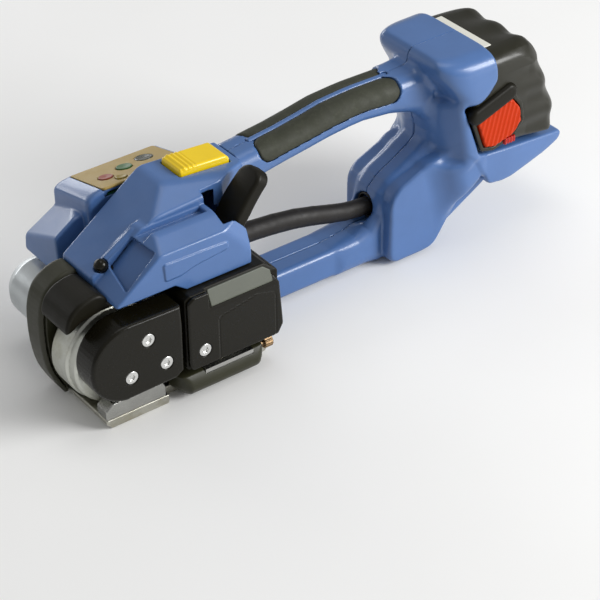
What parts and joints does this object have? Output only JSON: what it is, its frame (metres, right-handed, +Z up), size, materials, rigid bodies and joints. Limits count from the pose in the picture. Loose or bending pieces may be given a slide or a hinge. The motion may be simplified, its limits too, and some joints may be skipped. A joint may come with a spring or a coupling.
{
  "type": "battery strapping tool",
  "caption": "Hand-held battery tool that tensions plastic strap, friction-welds it and cuts it, with a grip, a keypad and a slide-out pack.",
  "frame": {"origin": "middle of the footprint, on the surface that the tool stands on", "axes": "+X from the strapping head to the battery, -Y the side the strap is slid in from, +Z up"},
  "size_m": [0.407, 0.124, 0.147],
  "materials": {
    "blue_housing": "moulded blue plastic, satin gloss",
    "black_plastic": "moulded black plastic",
    "black_gloss": "black lacquered casting",
    "rubber_grip": "matt soft rubber with fine grain",
    "keypad": "printed membrane",
    "display": "dark tinted window",
    "green_key": "satin",
    "red_key": "satin",
    "ochre_key": "satin",
    "circuit_board": "solder mask",
    "aluminium": "sand cast, bead blasted",
    "steel": "ground steel",
    "hard_steel": "hardened steel",
    "bronze": "dull bronze",
    "contact_brass": "spring brass",
    "yellow_button": "satin",
    "orange_button": "satin, ribbed",
    "red_tab": "satin",
    "label": "blank printed label",
    "cell_wrap": "shrink wrap",
    "rubber_belt": "toothed belt rubber"
  },
  "bodies": {
    "frame": {"head_left_cover": "blue_housing", "head_right_cover": "blue_housing", "handle_left_shell": "blue_housing", "handle_right_shell": "blue_housing", "left_grip": "rubber_grip", "right_grip": "rubber_grip", "keypad_panel": "keypad", "display_window": "display", "control_board": "circuit_board", "gear_frame": "aluminium", "base_plate": "steel", "gripper_plate": "hard_steel", "weld_anvil": "hard_steel", "front_guard": "black_gloss", "guard_hood": "black_gloss", "weld_housing": "black_gloss", "weld_cover": "black_plastic", "strap_guide": "black_plastic", "guide_knob": "bronze", "weld_screw": "steel", "cap_plug": "black_plastic", "weld_motor": "steel", "drive_belt": "rubber_belt", "rocker_pin": "hard_steel", "lever_pin": "hard_steel", "cable_sleeve": "rubber_grip", "cable_bushes": "rubber_grip", "battery_contacts": "contact_brass", "handle_screws": "steel"},
    "rocker": {"drum_casting": "aluminium", "wheel_cover": "black_gloss", "cover_screws": "steel", "gear_housing": "aluminium", "tension_motor": "steel", "ring_gear": "hard_steel", "wheel_bearings": "steel"},
    "wheel": {"tension_wheel": "hard_steel", "wheel_shaft": "hard_steel"},
    "sun": {"sun_gear": "hard_steel"},
    "planet_1": {"planet_gear_1": "hard_steel"},
    "planet_2": {"planet_gear_2": "hard_steel"},
    "planet_3": {"planet_gear_3": "hard_steel"},
    "lever": {"rocker_lever": "black_plastic"},
    "tension_key": {"tension_button": "yellow_button"},
    "weld_key": {"weld_button": "green_key"},
    "mode_key": {"mode_button": "red_key"},
    "set_key": {"set_button": "ochre_key"},
    "shoe": {"weld_shoe": "hard_steel"},
    "cutter": {"cutter_blade": "hard_steel"},
    "motor_rotor": {"motor_pulley": "aluminium"},
    "eccentric": {"eccentric_shaft": "hard_steel"},
    "battery": {"battery_case": "black_plastic", "battery_cells": "cell_wrap", "battery_label": "label", "battery_lips": "black_plastic", "latch_tab": "red_tab"},
    "release_near": {"near_release": "orange_button"},
    "release_far": {"far_release": "orange_button"}
  },
  "joints": [
    {"name": "lever_hinge", "type": "hinge", "parent": "frame", "child": "lever", "pos_m": [-0.1, -0.034, 0.084], "axis": [0, 1, 0], "range_deg": [0, 22], "stiffness_Nm_per_rad": 0.6, "springref_deg": -20.05},
    {"name": "rocker_hinge", "type": "hinge", "parent": "frame", "child": "rocker", "pos_m": [-0.112, -0.021, 0.052], "axis": [0, 1, 0], "range_deg": [0, 3], "stiffness_Nm_per_rad": 8, "springref_deg": -6.88},
    {"name": "wheel_spin", "type": "hinge", "parent": "rocker", "child": "wheel", "pos_m": [-0.168, -0.05, 0.04], "axis": [0, 1, 0], "continuous": true},
    {"name": "sun_spin", "type": "hinge", "parent": "rocker", "child": "sun", "pos_m": [-0.168, -0.032, 0.04], "axis": [0, 1, 0], "continuous": true},
    {"name": "planet_1_spin", "type": "hinge", "parent": "wheel", "child": "planet_1", "pos_m": [-0.153, -0.032, 0.04], "axis": [0, 1, 0], "continuous": true},
    {"name": "planet_2_spin", "type": "hinge", "parent": "wheel", "child": "planet_2", "pos_m": [-0.1755, -0.032, 0.05299], "axis": [0, 1, 0], "continuous": true},
    {"name": "planet_3_spin", "type": "hinge", "parent": "wheel", "child": "planet_3", "pos_m": [-0.1755, -0.032, 0.02701], "axis": [0, 1, 0], "continuous": true},
    {"name": "tension_press", "type": "slide", "parent": "frame", "child": "tension_key", "axis": [0, 0, -1], "range_m": [0, 0.003], "stiffness_N_per_m": 900, "springref_m": -0.001},
    {"name": "weld_press", "type": "slide", "parent": "frame", "child": "weld_key", "axis": [0, -0.2588, -0.9659], "range_m": [0, 0.0006], "stiffness_N_per_m": 1500, "springref_m": -0.0003},
    {"name": "mode_press", "type": "slide", "parent": "frame", "child": "mode_key", "axis": [0, -0.2588, -0.9659], "range_m": [0, 0.0006], "stiffness_N_per_m": 1500, "springref_m": -0.0003},
    {"name": "set_press", "type": "slide", "parent": "frame", "child": "set_key", "axis": [0, -0.2588, -0.9659], "range_m": [0, 0.0006], "stiffness_N_per_m": 1500, "springref_m": -0.0003},
    {"name": "shoe_drop", "type": "slide", "parent": "frame", "child": "shoe", "axis": [0, 0, -1], "range_m": [0, 0.0038], "stiffness_N_per_m": 1200, "springref_m": -0.002},
    {"name": "cutter_drop", "type": "slide", "parent": "frame", "child": "cutter", "axis": [0, 0, -1], "range_m": [0, 0.0038]},
    {"name": "motor_spin", "type": "hinge", "parent": "frame", "child": "motor_rotor", "pos_m": [-0.094, -0.041, 0.062], "axis": [0, 1, 0], "continuous": true},
    {"name": "eccentric_spin", "type": "hinge", "parent": "frame", "child": "eccentric", "pos_m": [-0.1, -0.041, 0.036], "axis": [0, 1, 0], "continuous": true},
    {"name": "battery_slide", "type": "slide", "parent": "frame", "child": "battery", "axis": [1, 0, 0], "range_m": [0, 0.06]},
    {"name": "near_release_press", "type": "slide", "parent": "battery", "child": "release_near", "axis": [0, 1, 0], "range_m": [0, 0.0015], "stiffness_N_per_m": 1500, "springref_m": -0.001},
    {"name": "far_release_press", "type": "slide", "parent": "battery", "child": "release_far", "axis": [0, -1, 0], "range_m": [0, 0.0015], "stiffness_N_per_m": 1500, "springref_m": -0.001}
  ],
  "couplings": [
    {"joint": "rocker_hinge", "follows": "lever_hinge", "ratio": 0.13636},
    {"joint": "sun_spin", "follows": "wheel_spin", "ratio": 5},
    {"joint": "planet_1_spin", "follows": "wheel_spin", "ratio": -2.6667},
    {"joint": "planet_2_spin", "follows": "wheel_spin", "ratio": -2.6667},
    {"joint": "planet_3_spin", "follows": "wheel_spin", "ratio": -2.6667},
    {"joint": "cutter_drop", "follows": "shoe_drop", "ratio": 1},
    {"joint": "eccentric_spin", "follows": "motor_spin", "ratio": 1.3333}
  ]
}
